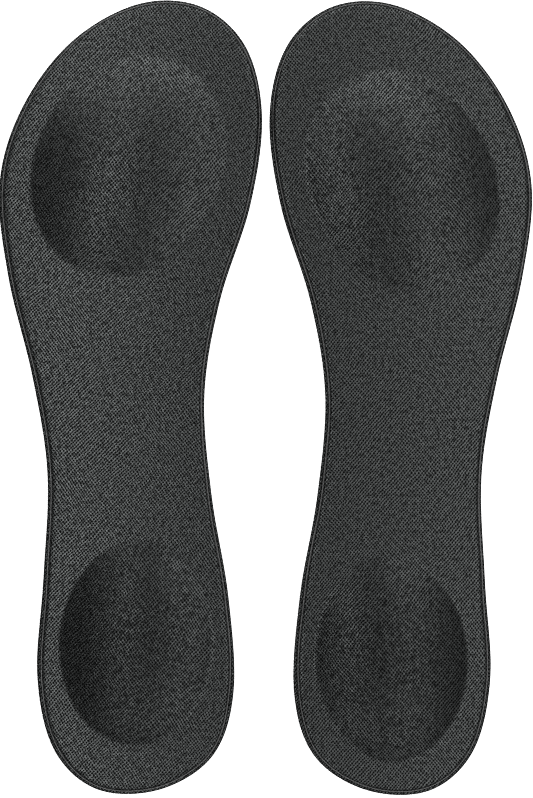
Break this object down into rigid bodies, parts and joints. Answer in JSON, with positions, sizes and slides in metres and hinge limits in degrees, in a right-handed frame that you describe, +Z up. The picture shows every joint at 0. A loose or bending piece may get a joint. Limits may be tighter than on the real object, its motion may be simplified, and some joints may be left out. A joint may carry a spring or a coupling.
{
  "type": "cushioned insole",
  "caption": "Pair of slim cushioned insoles for heeled shoes: long narrow laminates with domed pads under the ball and the heel, bending at the ball.",
  "frame": {"origin": "under the middle of the pair, on the surface that the pair rests on", "axes": "+Z up, +Y towards the toes, +X towards the right foot's insole"},
  "size_m": [0.1412, 0.2102, 0.0071],
  "materials": {
    "knit_cover": "matt fine warp knit with a faint sheen",
    "cover_foam": "matt fine open-cell foam",
    "cushion_foam": "matt skinned latex foam",
    "base_foam": "matt closed-cell foam",
    "grip_lining": "matt brushed non-slip fabric"
  },
  "bodies": {
    "left_rear": {"left_top_cover_rear": "knit_cover", "left_cover_foam_rear": "cover_foam", "left_heel_cushion": "cushion_foam", "left_base_foam_rear": "base_foam", "left_grip_lining_rear": "grip_lining"},
    "left_front": {"left_top_cover_front": "knit_cover", "left_cover_foam_front": "cover_foam", "left_forefoot_cushion": "cushion_foam", "left_base_foam_front": "base_foam", "left_grip_lining_front": "grip_lining"},
    "right_rear": {"right_top_cover_rear": "knit_cover", "right_cover_foam_rear": "cover_foam", "right_heel_cushion": "cushion_foam", "right_base_foam_rear": "base_foam", "right_grip_lining_rear": "grip_lining"},
    "right_front": {"right_top_cover_front": "knit_cover", "right_cover_foam_front": "cover_foam", "right_forefoot_cushion": "cushion_foam", "right_base_foam_front": "base_foam", "right_grip_lining_front": "grip_lining"}
  },
  "joints": [
    {"name": "left_flex", "type": "hinge", "parent": "left_rear", "child": "left_front", "pos_m": [-0.034, 0.019, 0.0032], "axis": [1, 0, 0], "range_deg": [0, 55], "stiffness_Nm_per_rad": 0.016},
    {"name": "pair_spread", "type": "slide", "parent": "left_rear", "child": "right_rear", "axis": [1, 0, 0], "range_m": [0, 0.12]},
    {"name": "right_flex", "type": "hinge", "parent": "right_rear", "child": "right_front", "pos_m": [0.034, 0.019, 0.0032], "axis": [1, 0, 0], "range_deg": [0, 55], "stiffness_Nm_per_rad": 0.016}
  ]
}
